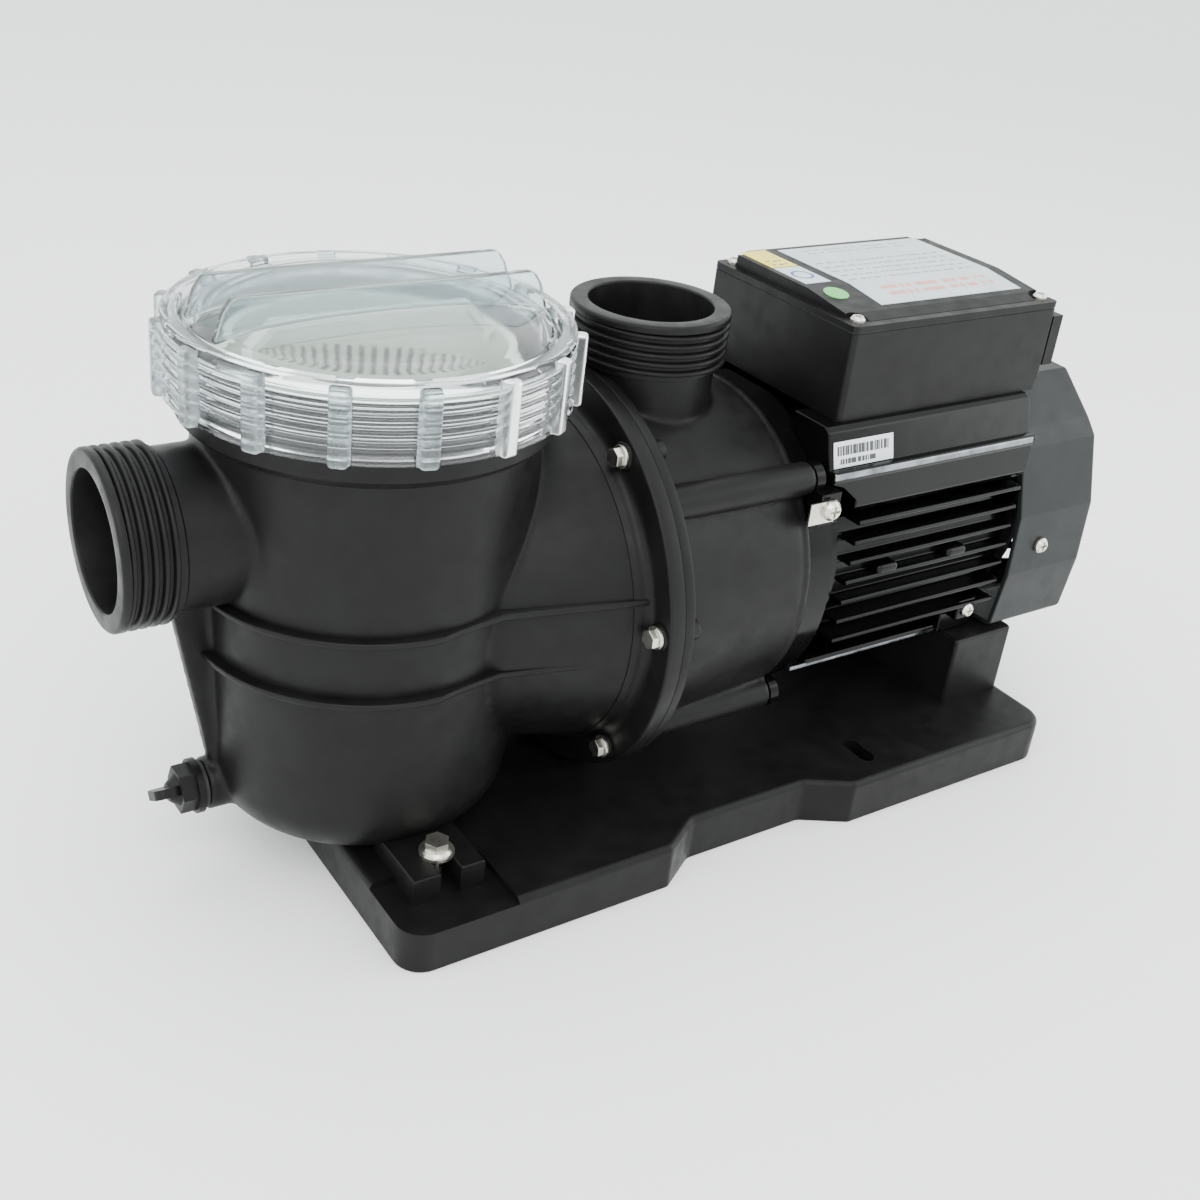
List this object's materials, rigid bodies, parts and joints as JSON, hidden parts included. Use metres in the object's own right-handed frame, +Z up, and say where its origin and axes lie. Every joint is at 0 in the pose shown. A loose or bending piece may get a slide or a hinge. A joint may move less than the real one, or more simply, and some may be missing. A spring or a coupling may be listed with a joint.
{
  "type": "pool pump",
  "caption": "Pool circulation pump with clear-lidded strainer pot, basket, centrifugal pump end, finned motor with fan cowl and terminal box, on a moulded base.",
  "frame": {"origin": "on the floor, under the middle of the pump's length and width", "axes": "+X along the motor shaft from the suction port towards the fan, +Z up, +Y to the left when looking from the suction port to the fan"},
  "size_m": [0.53, 0.225, 0.2719],
  "materials": {
    "black_plastic": "satin, fine moulded texture",
    "cowl_plastic": "satin, fine moulded texture",
    "motor_paint": "gloss black paint on die-cast aluminium",
    "clear_plastic": "clear, polished polycarbonate",
    "white_plastic": "satin white",
    "seal_rubber": "matte black",
    "zinc_steel": "zinc plated",
    "shaft_steel": "ground",
    "lamination_steel": "stacked sheet",
    "rotor_aluminium": "as cast",
    "copper_winding": "varnished copper wire",
    "insert_brass": "machined",
    "seal_ceramic": "lapped",
    "impeller_plastic": "glass-filled, smooth",
    "block_plastic": "cream",
    "capacitor_can": "smooth pale grey",
    "label_silver": "printed film, matt",
    "label_white": "printed film, matt",
    "label_yellow": "printed film, matt",
    "label_green": "printed film, matt"
  },
  "bodies": {
    "pump": {"base_plate": "black_plastic", "strainer_housing": "black_plastic", "pump_body": "black_plastic", "body_seal": "seal_rubber", "diffuser": "impeller_plastic", "diffuser_seal": "seal_rubber", "seal_seat": "seal_ceramic", "motor_stator": "lamination_steel", "stator_windings": "copper_winding", "motor_casing": "motor_paint", "front_shield": "motor_paint", "rear_shield": "motor_paint", "bearing_outer_rings": "shaft_steel", "fan_cowl": "cowl_plastic", "cowl_screws": "zinc_steel", "terminal_box": "black_plastic", "terminal_cover": "black_plastic", "cover_gasket": "seal_rubber", "cover_screws": "zinc_steel", "terminal_block": "block_plastic", "capacitor": "capacitor_can", "cable_gland": "black_plastic", "gland_nut": "black_plastic", "housing_bolts": "zinc_steel", "housing_washers": "zinc_steel", "flange_inserts": "insert_brass", "motor_bolts": "zinc_steel", "foot_bolts": "zinc_steel", "earth_tag": "zinc_steel", "earth_screw": "zinc_steel", "casing_screws": "zinc_steel", "rating_label": "label_silver", "yellow_sticker": "label_yellow", "ring_sticker": "label_white", "green_sticker": "label_green", "side_label": "label_white"},
    "rotor": {"motor_shaft": "shaft_steel", "motor_rotor": "rotor_aluminium", "bearing_inner_rings": "shaft_steel", "impeller": "impeller_plastic", "impeller_nut": "insert_brass", "seal_rotor": "shaft_steel", "slinger": "seal_rubber", "cooling_fan": "impeller_plastic"},
    "ball_set": {"bearing_balls": "shaft_steel"},
    "lid": {"clear_lid": "clear_plastic", "lid_seal": "seal_rubber"},
    "locking_ring": {"lid_ring": "clear_plastic"},
    "basket": {"strainer_basket": "white_plastic"},
    "handle": {"basket_handle": "white_plastic"},
    "drain_washer": {"drain_seal": "seal_rubber"},
    "drain_screw": {"drain_plug": "black_plastic"}
  },
  "joints": [
    {"name": "shaft_spin", "type": "hinge", "parent": "pump", "child": "rotor", "pos_m": [0, 0, 0.12], "axis": [1, 0, 0], "continuous": true},
    {"name": "ball_spin", "type": "hinge", "parent": "pump", "child": "ball_set", "pos_m": [0, 0, 0.12], "axis": [1, 0, 0], "continuous": true},
    {"name": "lid_lift", "type": "slide", "parent": "pump", "child": "lid", "axis": [0, 0, 1], "range_m": [0, 0.2]},
    {"name": "ring_turn", "type": "hinge", "parent": "lid", "child": "locking_ring", "pos_m": [-0.147, 0, 0.24], "axis": [0, 0, 1], "range_deg": [0, 120]},
    {"name": "basket_lift", "type": "slide", "parent": "pump", "child": "basket", "axis": [0, 0, 1], "range_m": [0, 0.14]},
    {"name": "handle_swing", "type": "hinge", "parent": "basket", "child": "handle", "pos_m": [-0.147, 0, 0.2385], "axis": [1, 0, 0], "range_deg": [-78, 78]},
    {"name": "drain_out", "type": "slide", "parent": "pump", "child": "drain_washer", "axis": [-1, 0, 0], "range_m": [0, 0.018]},
    {"name": "drain_turn", "type": "hinge", "parent": "drain_washer", "child": "drain_screw", "pos_m": [-0.227, 0, 0.0425], "axis": [-1, 0, 0], "range_deg": [0, 3240]}
  ],
  "couplings": [
    {"joint": "ball_spin", "follows": "shaft_spin", "ratio": 0.384},
    {"joint": "basket_lift", "follows": "lid_lift", "ratio": 0.7},
    {"joint": "drain_out", "follows": "drain_turn", "m_per_rad": 0.00031831}
  ]
}
